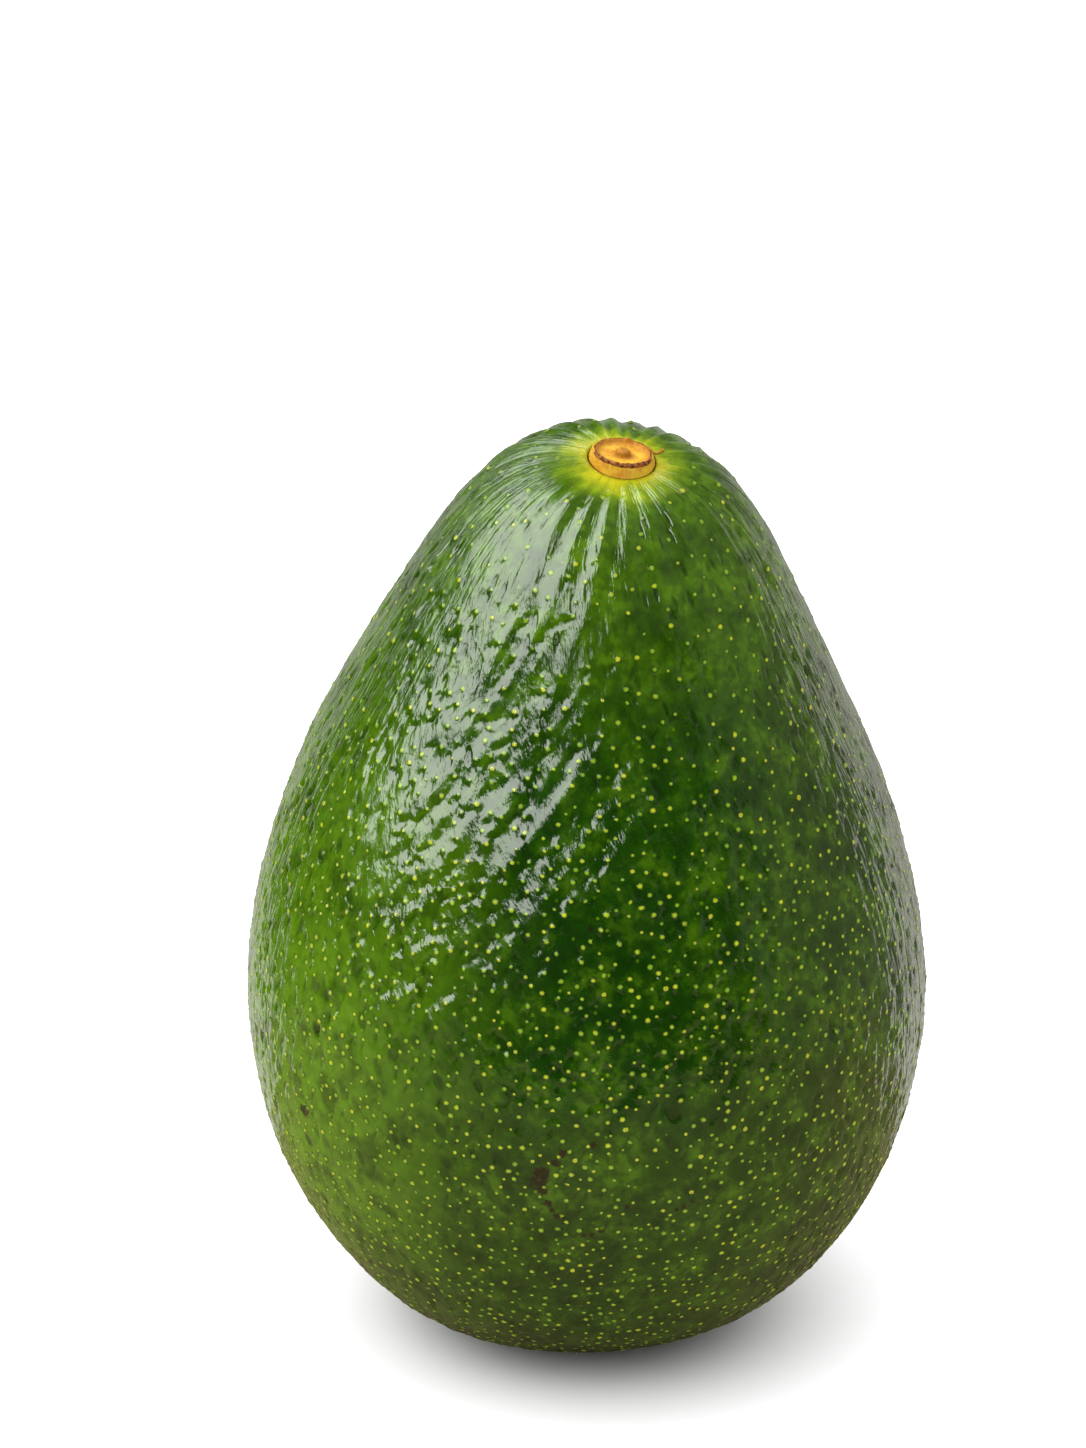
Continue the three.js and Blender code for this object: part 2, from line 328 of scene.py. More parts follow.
# %% [markdown]
# ## Pimples and pits
#
# The pale pimples are lenticels, the pores through which the fruit breathes. They are strewn
# without order but never overlap, closer together low on the fruit. Throwing darts and keeping
# those that land clear of the others gives just that. Beside many of them the skin has sunk
# into a short pit, and the pits lie along the same slant as the ripples.

# %% Throw the darts
PIMPLE_COUNT = 6300
PIMPLE_GAP = 0.98 * MM
PIMPLE_HEIGHT = 0.09 * MM
PIMPLE_REACH = 0.42 * MM


def throw_darts():
    """Turns and angles of the pimples."""
    rng = np.random.default_rng(7)
    area = rng.random(24000) * WALK_AREA[-1]
    turn = np.interp(area, WALK_AREA, WALK)
    around = rng.random(len(turn)) * 2 * np.pi
    radius, height = outline(turn)
    points = around_axis(radius, around, height)
    low = smooth(-height, -50 * MM, 0)
    off_the_ends = radius > np.where(height > 0, 6.5 * MM, 2.5 * MM)
    wanted = (rng.random(len(turn)) < 0.3 + 0.7 * low) & off_the_ends
    gap = PIMPLE_GAP * (1.45 - 0.45 * low)
    kept = []
    for k in np.flatnonzero(wanted):
        if len(kept) == PIMPLE_COUNT:
            break
        if ((points[kept] - points[k]) ** 2).sum(1).min(initial=1) > gap[k] ** 2:
            kept.append(k)
    return turn[kept], around[kept], points[kept]


PIMPLE_TURN, PIMPLE_AROUND, PIMPLE_POINTS = throw_darts()
print("Pimples:", len(PIMPLE_TURN))

# %% Dig the pits
PIT_COUNT = 2700
PIT_DEPTH = 0.22 * MM
PIT_HALF_WIDTH = 0.4 * MM


def near_tree(points):
    tree = kdtree.KDTree(len(points))
    for k, point in enumerate(points):
        tree.insert(point, k)
    tree.balance()
    return tree


def offset(turn, around, down, aside):
    """Turn and angle of a place that lies some way down and aside on the skin."""
    return turn + down / np.interp(turn, WALK, WALK_SPEED), around + aside / outline(turn)[0]


def dig_pits():
    """Pits beside pimples: turns, angles, depths and hollow values of their points."""
    rng = np.random.default_rng(29)
    tree = near_tree(PIMPLE_POINTS)
    rough = roughness_at(PIMPLE_POINTS)
    radius, height = outline(PIMPLE_TURN)
    slant = np.array(SLANT)
    lines = []
    taken = []
    for k in rng.permutation(len(PIMPLE_TURN)):
        length, lean, chance, side = rng.random(4)
        if chance > 2 * rough[k] - 0.35 or radius[k] < 8 * MM or height[k] - REST_HEIGHT < 4 * MM:
            continue
        turn, around = PIMPLE_TURN[k], PIMPLE_AROUND[k]
        level = slant @ [-math.sin(around), math.cos(around), 0]
        angle = math.atan2(level, slant[2]) + 0.7 * (lean - 0.5)
        reach = (0.36 + 0.42 * length**2) * MM
        start = (0.1 + 0.2 * side) * MM
        ahead = 1 if side < 0.75 else -1
        row = []
        for count, depth in ((1, 0.7), (2, 1.0), (3, 0.6)):
            run = ahead * (start + count * reach)
            middle = (run * math.cos(angle), -run * math.sin(angle))
            across = (PIT_HALF_WIDTH * math.sin(angle), PIT_HALF_WIDTH * math.cos(angle))
            row.append((*offset(turn, around, *middle), depth))
            for sign in (-1, 1):
                aside = [m + sign * a for m, a in zip(middle, across)]
                row.append((*offset(turn, around, *aside), 0))
        centres = np.array([row[0], row[3], row[6]])
        spots = smooth_point(centres[:, 0], centres[:, 1])
        clear = all(len(tree.find_range(spot, 0.5 * MM)) <= (n == 0) for n, spot in enumerate(spots))
        away = ((np.array(taken).reshape(-1, 3) - spots[1]) ** 2).sum(1).min(initial=1)
        if clear and away > (1.1 * MM) ** 2:
            taken.extend(spots)
            lines.extend(row)
        if len(taken) == 3 * PIT_COUNT:
            break
    return np.array(lines), np.array(taken)


PIT_TABLE, PIT_POINTS = dig_pits()
print("Pits:", len(PIT_POINTS) // 3)

# %% [markdown]
# ## Points of the skin
#
# A grid would waste points where the skin is plain. Here each pimple is a tip with a ring round
# it, each pit is a line of low points between two rims, and the folds round the stalk get
# points close together. A golden-angle spiral, as in the head of a sunflower, fills the rest.

# %% Place the points
SKIN_SPACING = 0.645 * MM
FOLD_SPACING = 0.34 * MM


class Places:
    """Gathers turns, angles, rises, and pimple, tint and hollow values of the skin's points."""

    def __init__(self):
        self.parts = []

    def add(self, turn, around, rise=0.0, pimple=0.0, tint=0.5, hollow=0.0):
        columns = (turn, around, rise, pimple, tint, hollow)
        self.parts.append(np.stack([np.broadcast_to(v, len(turn)) for v in columns]))

    def table(self):
        return np.concatenate(self.parts, axis=1)


def add_pimples(places):
    rng = np.random.default_rng(19)
    size = rng.uniform(0.65, 1.25, len(PIMPLE_TURN))
    tint = rng.random(len(PIMPLE_TURN))
    places.add(PIMPLE_TURN, PIMPLE_AROUND, PIMPLE_HEIGHT * size, 1, tint)
    start = rng.uniform(0, 2 * np.pi, len(PIMPLE_TURN))
    for k in range(6):
        angle = start + 2 * np.pi * k / 6
        reach = PIMPLE_REACH * size
        foot = offset(PIMPLE_TURN, PIMPLE_AROUND, reach * np.cos(angle), reach * np.sin(angle))
        places.add(*foot, tint=tint)


def add_filling(places):
    """Points of a golden-angle spiral, left out where they would crowd a pimple or a pit."""
    pimples = near_tree(PIMPLE_POINTS)
    pits = near_tree(PIT_POINTS)
    near_stalk = (1 - smooth(WALK_RADIUS, 7 * MM, 17 * MM)) * (WALK_HEIGHT > 0)
    spacing = SKIN_SPACING + (FOLD_SPACING - SKIN_SPACING) * near_stalk
    count = np.concatenate([[0], np.cumsum(np.diff(WALK_AREA) / spacing[1:] ** 2)])
    first = np.interp(turn_at(SEAT_RADIUS + 0.25 * MM, NECK), WALK, count)
    last = np.interp(turn_at(1.3 * MM, BASE), WALK, count)
    order = np.arange(first, last)
    turn = np.interp(order, count, WALK)
    around = (order * np.pi * (3 - math.sqrt(5))) % (2 * np.pi)
    points = smooth_point(turn, around)
    clear = np.array([pimples.find(p)[2] > 0.56 * MM and pits.find(p)[2] > 0.6 * MM for p in points])
    clear &= abs(turn - REST_TURN) * np.interp(turn, WALK, WALK_SPEED) > 0.3 * MM
    places.add(turn[clear], around[clear])


def ring_angles(count):
    return 2 * np.pi * np.arange(count) / count


places = Places()
add_pimples(places)
places.add(*PIT_TABLE[:, :2].T, rise=-PIT_DEPTH * PIT_TABLE[:, 2], hollow=PIT_TABLE[:, 2])
add_filling(places)
places.add(np.full(160, REST_TURN), ring_angles(160))
places.add(np.full(96, SEAT_TURN), ring_angles(96))
PLACE_TABLE = places.table()
print("Points of the skin:", PLACE_TABLE.shape[1])

# %% [markdown]
# ## The skin as one mesh
#
# On the flat map, Delaunay's rule joins any set of points with the roundest triangles there
# are. Blender has it in mathutils.geometry. The map's middle is the stalk. Its outer edge is a
# tiny ring under the fruit, closed with one flat face. The wall and floor of the stub's seat
# are rings of their own in the middle of the map.

# %% Join the points
BASE_SIDES = 12


def seat_rings():
    """The seat's wall and floor: shares of the seat's map radius, and points."""
    shares = []
    points = []
    for share, radius, drop, count in ((0.93, 3.6, 0.25, 96), (0.82, 3.56, 1.3, 48), (0.3, 1.5, 1.3, 12)):
        angles = ring_angles(count)
        shares.append(np.stack([np.full(count, share), angles]))
        points.append(around_axis(radius * MM, angles, np.full(count, SEAT_LEVEL - drop * MM)))
    return np.concatenate(shares, axis=1), bend(np.concatenate(points)) + STAND


def on_map(spread, around):
    rng = np.random.default_rng(3)
    around = around + 1e-5 * rng.random(len(around))
    return np.stack([np.exp(spread) * np.cos(around), np.exp(spread) * np.sin(around)], axis=-1)


def join_points():
    """Points and triangles of the skin, and the values that its material needs."""
    turn, around, rise, pimple, tint, hollow = PLACE_TABLE
    base_turn = turn_at(1.0 * MM, BASE)
    turn = np.concatenate([turn, np.full(BASE_SIDES, base_turn)])
    around = np.concatenate([around, ring_angles(BASE_SIDES)])
    pad = np.zeros(BASE_SIDES)
    rise, pimple, tint, hollow = (np.concatenate([v, pad]) for v in (rise, pimple, tint, hollow))
    points = skin_points(turn, around, rise)
    spread = np.interp(turn, WALK, WALK_SPREAD)
    shares, seat = seat_rings()
    seat_spread = np.interp(SEAT_TURN, WALK, WALK_SPREAD) + np.log(shares[0])
    flat = on_map(np.concatenate([spread, seat_spread]), np.concatenate([around, shares[1]]))
    joined = geometry.delaunay_2d_cdt([Vector(p) for p in flat], [], [], 0, 1e-7)
    origin = np.array([o[0] for o in joined[3]])
    triangles = origin[np.array(joined[2])]
    points = np.concatenate([points, seat])
    rough = roughness_at(smooth_point(turn, around))
    values = {"pimple": pimple, "tint": tint, "hollow": hollow, "fold": fold_rise(around), "rough": rough}
    values["drum"] = unrolled(turn, around)
    values = {name: np.concatenate([v, np.zeros((len(seat), *v.shape[1:]))]) for name, v in values.items()}
    last_ring = np.arange(len(turn) - BASE_SIDES, len(turn))
    return points, triangles, last_ring, values


# %% Make the skin
def make_mesh(name, points, faces, values):
    """A smooth mesh with named values at its points."""
    mesh = bpy.data.meshes.new(name)
    mesh.from_pydata([tuple(p) for p in points], [], [tuple(int(k) for k in f) for f in faces])
    for value_name, numbers in values.items():
        kind, field = ("FLOAT", "value") if numbers.ndim == 1 else ("FLOAT_VECTOR", "vector")
        layer = mesh.attributes.new(value_name, kind, "POINT")
        layer.data.foreach_set(field, numbers.astype(np.float32).ravel())
    mesh.polygons.foreach_set("use_smooth", [True] * len(mesh.polygons))
    mesh.update()
    piece = bpy.data.objects.new(name, mesh)
    bpy.context.collection.objects.link(piece)
    return piece


skin_mesh_points, skin_triangles, last_ring, skin_values = join_points()
skin = make_mesh("skin", skin_mesh_points, list(skin_triangles) + [last_ring[::-1]], skin_values)
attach(skin, "root")
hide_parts("fruit")
print("Triangles of the skin:", len(skin_triangles) + BASE_SIDES - 2)

# %% [markdown]
# ## The stub of the stalk
#
# When the fruit is picked, the stalk leaves a stub: a low cone like a boot's eyelet, with a
# torn brown lip, a dish and a small dome where the core of the stalk broke off. It is turned
# on an outline, as a potter would, and then the lip is torn with uneven ripples.

# %% Outline of the stub
STUB_SIDES = 180
STUB_OUTLINE = np.array([
    [0, -1.1], [1.7, -1.1], [3.2, -1.1], [3.45, -0.9], [3.5, -0.1], [3.5, 0.02], [3.46, 0.14], [3.38, 0.34],
    [3.28, 0.54], [3.19, 0.7], [3.12, 0.8], [3.14, 0.87], [3.17, 0.96], [3.12, 1.05], [3.02, 1.11],
    [2.88, 1.12], [2.76, 1.02], [2.66, 0.87], [2.5, 0.74], [2.25, 0.66], [1.9, 0.62], [1.5, 0.6],
    [1.05, 0.62], [0.88, 0.72], [0.81, 0.9], [0.73, 1.1], [0.57, 1.28], [0.33, 1.38], [0, 1.42],
]) * MM
LIP_TILT = 0.17
# Where the lip starts and ends, counted in points of the outline.
LIP_KNOTS = (10, 16)
FRONT = -math.pi / 2
PEAK_AROUND = 1.37


def ripples(around, seed, counts):
    """Uneven ripples round a ring, about -1 to 1."""
    roll = make_dice(seed)
    total = sum(np.cos(count * around + 2 * math.pi * roll()) for count in counts)
    return total * math.sqrt(1 / len(counts))


def between(value, low, high, soft_low, soft_high):
    """Smoothly 1 from low to high and 0 outside, over a soft stretch at each end."""
    return smooth(value, low - soft_low, low) * (1 - smooth(value, high, high + soft_high))


print("Points of the stub's outline:", len(STUB_OUTLINE))


# %% Turn the stub
def turn_stub():
    """Points and colour values of the stub, with its foot at height 0."""
    steps = 4 * (len(STUB_OUTLINE) - 1)
    along = np.linspace(0, 1, steps + 1)
    radius, height = (curve_through(column, along) for column in STUB_OUTLINE.T)
    knot = along * (len(STUB_OUTLINE) - 1)
    radius, around = np.meshgrid(radius, ring_angles(STUB_SIDES), indexing="ij")
    height, knot = (np.repeat(v[:, None], STUB_SIDES, axis=1) for v in (height, knot))
    lip = between(knot, LIP_KNOTS[0] + 1, LIP_KNOTS[1] - 1, 2, 3)
    under = between(knot, LIP_KNOTS[0], LIP_KNOTS[0] + 1, 1, 2)
    front = 0.5 + 0.5 * np.cos(around - FRONT)
    torn = ripples(around, 5, (7, 12, 19, 31)) * (0.35 + 0.65 * front)
    fine = ripples(around, 9, (37, 48, 61, 77)) * front
    peak = np.exp(-(((around - PEAK_AROUND) / 0.09) ** 2))
    height = height + lip * MM * (0.05 * torn + 0.012 * fine + 0.3 * peak)
    height = height - under * front * MM * (0.1 + 0.02 * fine)
    radius = radius + lip * MM * (0.05 * ripples(around, 13, (3, 5, 9)) + 0.015 * fine + 0.05 * front)
    above = smooth(height, 0, 0.3 * MM) * (radius > 0)
    radius = radius * (1 + 0.008 * ripples(around, 17, (2, 3, 4)))
    radius = radius - above * 0.02 * MM * ripples(around, 21, (17, 29, 41))
    height = height - LIP_TILT * radius * np.sin(around) * smooth(knot, 6, 10)
    fold = np.exp(-(((radius / MM - 2.1) / 0.16) ** 2)) * smooth(np.cos(around + 0.75), 0.55, 1)
    height = height + 0.09 * MM * fold * between(knot, 19, 21, 2, 1)
    # On the front the lip's dark band reaches down under its overhang: dark bark, and painted shade under the
    # lip.
    bulge = np.exp(-(((around - FRONT - 2 * math.pi - 0.5) / 0.9) ** 2))
    low_edge = 10.2 - 1.1 * bulge + 0.3 * torn
    bark_band_with_painted_shade = smooth(knot - low_edge, -0.5, 0.5) * (1 - smooth(knot, 14, 15.5)) * smooth(front, 0.45, 0.8)
    edge = np.maximum(0.85 * np.exp(-(((knot - 14.6) / 1.0) ** 2)), bark_band_with_painted_shade)
    core = smooth(knot, 21.5, 23.5)
    points = np.stack([radius * np.cos(around), radius * np.sin(around), height], axis=-1)
    values = {"lip": edge, "core": core, "reach": radius / MM, "rise": height / MM}
    return points, values


STUB_RINGS, STUB_VALUES = turn_stub()
print("Rings and sides of the stub:", STUB_RINGS.shape[:2])


# %% Close the stub and stand it in its seat
def close_rings(points, values):
    """Faces between the rings, with one point at each end in place of the first and last."""
    rows, sides = points.shape[:2]
    flat = np.concatenate([points[0, :1], points[1:-1].reshape(-1, 3), points[-1, :1]])
    flat_values = {
        name: np.concatenate([v[0, :1], v[1:-1].ravel(), v[-1, :1]]) for name, v in values.items()
    }
    index = 1 + np.arange((rows - 2) * sides).reshape(rows - 2, sides)
    faces = []
    for k in range(sides):
        n = (k + 1) % sides
        faces.append((0, index[0, n], index[0, k]))
        faces.append((len(flat) - 1, index[-1, k], index[-1, n]))
        for row in range(rows - 3):
            faces.append((index[row, k], index[row, n], index[row + 1, n], index[row + 1, k]))
    return flat, faces, flat_values


stub_frame = Matrix.Translation(Vector(bend(np.array([[0, 0, SEAT_LEVEL]]))[0] + STAND))
stub_frame = stub_frame @ Matrix.Rotation(BEND_ANGLE, 4, Vector((-LEAN[1], LEAN[0], 0)))
stub_points, stub_faces, stub_values = close_rings(STUB_RINGS, STUB_VALUES)
stub = make_mesh("stalk_stub", stub_points, stub_faces, stub_values)
stub.data.transform(stub_frame)
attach(stub, "root")
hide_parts("stem_button")
print("Faces of the stub:", len(stub_faces))

# %% [markdown]
# ## A thread of bark
#
# Beside the stub a thin dry thread lies on the skin, torn off with the stalk. It is a tapered
# tube along a smooth curve over the skin.

# %% Lay the thread
# Radius in millimetres, angle round the stalk and height over the skin in millimetres.
THREAD_PATH = np.array([
    [3.3, 0.62, 0.55], [3.52, 0.56, 0.3], [3.75, 0.48, 0.12],
    [4.15, 0.45, 0.1], [4.6, 0.48, 0.16], [5.0, 0.52, 0.34],
])
THREAD_THICK = np.array([0.1, 0.13, 0.12, 0.12, 0.17, 0.08]) * MM
THREAD_SIDES = 10


def lay_thread():
    """Rings of points along the thread, in the stub's own frame."""
    along = np.linspace(0, 1, 41)
    radius, around, lift = (curve_through(column, along) for column in THREAD_PATH.T)
    level = outline(turn_at(radius * MM, NECK))[1] - SEAT_LEVEL
    spine = np.stack([radius * MM * np.cos(around), radius * MM * np.sin(around), lift * MM + level], axis=-1)
    ahead = np.gradient(spine, axis=0)
    side = np.cross(ahead, [0, 0, 1])
    side /= np.linalg.norm(side, axis=1, keepdims=True)
    up = np.cross(side, ahead)
    up /= np.linalg.norm(up, axis=1, keepdims=True)
    angles = ring_angles(THREAD_SIDES)
    thick = curve_through(THREAD_THICK, along) * (1 + 0.12 * ripples(along, 3, (31, 53, 71)))
    thick[[0, -1]] = 0
    thick = thick[:, None]
    rings = spine[:, None] + (thick * np.cos(angles))[..., None] * side[:, None]
    rings = rings + (thick * np.sin(angles))[..., None] * up[:, None]
    ones = np.ones(rings.shape[:2])
    tip = np.repeat(smooth(along, 0.55, 0.9)[:, None], THREAD_SIDES, axis=1)
    return rings, {"lip": 0.35 + 0.65 * tip, "core": ones, "reach": 3 * ones, "rise": ones}


thread_points, thread_faces, thread_values = close_rings(*lay_thread())
thread = make_mesh("bark_thread", thread_points, thread_faces, thread_values)
thread.data.transform(stub_frame)
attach(thread, "root")
print("Faces of the thread:", len(thread_faces))

# %% [markdown]
# ## Short names for nodes
#
# Materials are made of nodes. A few helpers keep their wiring short. One adds a node and fills
# or links its sockets. Others are for sums and products, the parts of a vector, a smooth step, a
# mix of two colours, a value stored at the mesh's points, the place of a point, and noise. The
# last ones are for a new material and for making and using a group.

# %% Node helpers


def add(tree, kind, inputs=None, **settings):
    """Adds a node. An input is a plain value or the socket that feeds it."""
    node = tree.nodes.new(kind)
    for name, value in settings.items():
        setattr(node, name, value)
    for name, value in (inputs or {}).items():
        if isinstance(value, bpy.types.NodeSocket):
            tree.links.new(value, node.inputs[name])
        else:
            node.inputs[name].default_value = value
    return node


def calc(tree, operation, *values):
    node = add(tree, "ShaderNodeMath", dict(enumerate(values)), operation=operation)
    return node.outputs[0]


def plus(tree, first, second):
    return calc(tree, "ADD", first, second)


def minus(tree, first, second):
    return calc(tree, "SUBTRACT", first, second)


def times(tree, first, second):
    return calc(tree, "MULTIPLY", first, second)


def split(tree, vector):
    """The three parts of a vector."""
    return add(tree, "ShaderNodeSeparateXYZ", {0: vector}).outputs


def step(tree, value, low, high, first=0.0, last=1.0):
    """Smooth step of a value, from first at low to last at high."""
    inputs = {"Value": value, "From Min": low, "From Max": high, "To Min": first, "To Max": last}
    return add(tree, "ShaderNodeMapRange", inputs, interpolation_type="SMOOTHSTEP").outputs[0]


def mix(tree, share, first, second):
    node = add(tree, "ShaderNodeMix", {0: share, 6: first, 7: second}, data_type="RGBA")
    return node.outputs[2]


def read(tree, name):
    """A value stored at the mesh's points."""
    return add(tree, "ShaderNodeAttribute", attribute_name=name).outputs["Fac"]


def place(tree):
    """Where on the object a point is, in metres."""
    return add(tree, "ShaderNodeTexCoord").outputs["Object"]


def distance_to(tree, centre):
    """How far a point of the surface is from a centre."""
    inputs = {0: place(tree), 1: centre}
    return add(tree, "ShaderNodeVectorMath", inputs, operation="DISTANCE").outputs["Value"]


def noise(tree, where, scale, detail, roughness):
    inputs = {"Vector": where, "Scale": scale, "Detail": detail, "Roughness": roughness}
    return add(tree, "ShaderNodeTexNoise", inputs).outputs[0]


def new_material(name):
    """A material with its node tree and its shader."""
    material = bpy.data.materials.new(name)
    material.use_nodes = True
    return material, material.node_tree, material.node_tree.nodes["Principled BSDF"]


def new_group(name, inputs, outputs):
    """An empty node group. Inputs and outputs are (name, kind, default)."""
    tree = bpy.data.node_groups.new(name, "ShaderNodeTree")
    for in_out, sockets in (("INPUT", inputs), ("OUTPUT", outputs)):
        for socket_name, kind, default in sockets:
            socket = tree.interface.new_socket(socket_name, in_out=in_out, socket_type="NodeSocket" + kind)
            if default is not None:
                socket.default_value = default
    return tree, tree.nodes.new("NodeGroupInput").outputs, tree.nodes.new("NodeGroupOutput").inputs


def use(tree, group, **values):
    """Places a group in a material and returns its outputs."""
    inputs = {name.replace("_", " "): value for name, value in values.items()}
    return add(tree, "ShaderNodeGroup", inputs, node_tree=group).outputs


# %% [markdown]
# ## Effects used more than once
#
# Mottling and grain show on skin and stub alike, each at its own scale. Ragged spots and specks
# come again and again on the skin. So each is a node group built once. A group puts out only a
# value, and the material decides what that value colours or raises.

# %% Mottle group
def build_mottle():
    """Soft patches of a given width: about 0 between them and 1 in them."""
    inputs = (("Width", "Float", 0.01), ("Contrast", "Float", 1.0))
    tree, given, result = new_group("Mottle", inputs, (("Patches", "Float", None),))
    scale = calc(tree, "DIVIDE", 1.0, given["Width"])
    centred = minus(tree, noise(tree, place(tree), scale, 4.0, 0.55), 0.5)
    raised = times(tree, centred, times(tree, given["Contrast"], 3.0))
    tree.links.new(plus(tree, raised, 0.5), result["Patches"])
    return tree


MOTTLE = build_mottle()


def mottle(tree, width, contrast):
    return use(tree, MOTTLE, Width=width, Contrast=contrast)["Patches"]


print("Node group", MOTTLE.name, "with", len(MOTTLE.nodes), "nodes")


# %% Grain group
def stretched_place(tree, given):
    """A place turned, and squeezed along Z so that a texture there grows longer."""
    inputs = {"Vector": given["Place"], "Rotation": given["Turn"]}
    turned = add(tree, "ShaderNodeVectorRotate", inputs, rotation_type="EULER_XYZ")
    along = calc(tree, "DIVIDE", 1.0, given["Length"])
    squeeze = add(tree, "ShaderNodeCombineXYZ", {"X": 1.0, "Y": 1.0, "Z": along})
    inputs = {0: turned.outputs[0], 1: squeeze.outputs[0]}
    return add(tree, "ShaderNodeVectorMath", inputs, operation="MULTIPLY").outputs[0]


def build_grain():
    """Fine relief, longer along a direction than across it, about 0 to 1."""
    inputs = (("Width", "Float", 0.001), ("Length", "Float", 3.0))
    inputs += (("Turn", "Vector", (0, 0, 0)), ("Place", "Vector", None))
    tree, given, result = new_group("Grain", inputs, (("Height", "Float", None),))
    scale = calc(tree, "DIVIDE", 1.0, given["Width"])
    tree.links.new(noise(tree, stretched_place(tree, given), scale, 3.0, 0.5), result["Height"])
    return tree


GRAIN = build_grain()
print("Node group", GRAIN.name, "with", len(GRAIN.nodes), "nodes")


# %% Spot group
def build_spot():
    """A spot with a ragged edge round a centre: 1 inside, 0 outside."""
    inputs = (("Centre", "Vector", (0, 0, 0)), ("Size", "Float", 0.002), ("Raggedness", "Float", 0.5))
    tree, given, result = new_group("Spot", inputs, (("Mask", "Float", None),))
    share = calc(tree, "DIVIDE", distance_to(tree, given["Centre"]), given["Size"])
    centred = minus(tree, noise(tree, place(tree), 2600.0, 3.0, 0.65), 0.5)
    wobble = times(tree, centred, given["Raggedness"])
    edge = plus(tree, share, times(tree, wobble, 4.0))
    tree.links.new(step(tree, edge, 0.75, 1.15, 1.0, 0.0), result["Mask"])
    return tree


SPOT = build_spot()
print("Node group", SPOT.name, "with", len(SPOT.nodes), "nodes")


# %% Speckle group
def build_speckle():
    """Specks strewn in cells, round or long: a mask, and a random shade for each speck."""
    inputs = (("Width", "Float", 0.002), ("Share", "Float", 0.5), ("Size", "Float", 0.3))
    inputs += (("Length", "Float", 1.0), ("Turn", "Vector", (0, 0, 0)), ("Place", "Vector", None))
    outputs = (("Mask", "Float", None), ("Shade", "Float", None))
    tree, given, result = new_group("Speckle", inputs, outputs)
    scale = calc(tree, "DIVIDE", 1.0, given["Width"])
    where = stretched_place(tree, given)
    cells = add(tree, "ShaderNodeTexVoronoi", {"Vector": where, "Scale": scale}).outputs
    colours = add(tree, "ShaderNodeSeparateColor", {0: cells["Color"]}).outputs
    round_spot = step(tree, calc(tree, "DIVIDE", cells["Distance"], given["Size"]), 0.5, 1.1, 1.0, 0.0)
    chosen = calc(tree, "LESS_THAN", colours[0], given["Share"])
    tree.links.new(times(tree, round_spot, chosen), result["Mask"])
    tree.links.new(colours[1], result["Shade"])
    return tree


SPECKLE = build_speckle()
print("Node group", SPECKLE.name, "with", len(SPECKLE.nodes), "nodes")

# %% [markdown]
# ## The skin
#
# Green comes in soft patches of three sizes and is more olive on the right and low down. Painted
# light makes the left side paler, and painted shade darkens the skin low down and in pits and
# dimples. Each pimple is yellow-green in a dark ring, partly its own colour and partly painted
# shade, and about one in ten has a corky brown tip. Round the stalk the skin pales to yellow,
# further out along the ridges than along the valleys. The wax on the skin is glossy, with duller
# patches. A few brown scars make it one certain fruit.

# %% Skin colours
DARK_GREEN = (0.0034, 0.023, 0.0002, 1)
MID_GREEN = (0.008, 0.040, 0.0003, 1)
OLIVE_GREEN = (0.0185, 0.043, 0.0006, 1)
PALE_GREEN = (0.095, 0.200, 0.003, 1)
DEEP_GREEN = (0.003, 0.014, 0.0005, 1)
PIMPLE_PALE = (0.40, 0.43, 0.003, 1)
PIMPLE_GREEN = (0.15, 0.27, 0.002, 1)
CORK = (0.16, 0.065, 0.012, 1)
SCAR_BROWN = (0.010, 0.0042, 0.0015, 1)
HALO_YELLOW = (0.36, 0.345, 0.008, 1)
HALO_GREEN = (0.19, 0.28, 0.007, 1)
# Centre and size of each scar, in millimetres.
SCARS = (
    (-4.8, -35.7, 35.0, 0.75), (-5.0, -35.6, 33.8, 0.8), (-4.6, -35.4, 32.7, 0.5), (-4.1, -35.2, 31.0, 0.4),
    (-3.6, -35.1, 30.1, 0.3), (-3.1, -35.0, 29.4, 0.3), (-2.5, -36.1, 37.3, 0.4), (-3.2, -36.0, 36.2, 0.45),
    (4.2, -35.1, 30.5, 0.3), (9.5, -33.9, 29.7, 0.25), (10.2, -33.8, 30.1, 0.3), (11.1, -33.6, 30.5, 0.25),
    (-0.3, -34.5, 26.8, 0.25), (0.7, -34.5, 26.8, 0.3), (1.6, -34.6, 27.2, 0.25), (-30.2, -21.3, 34.7, 0.7),
)


print("Scars:", len(SCARS))


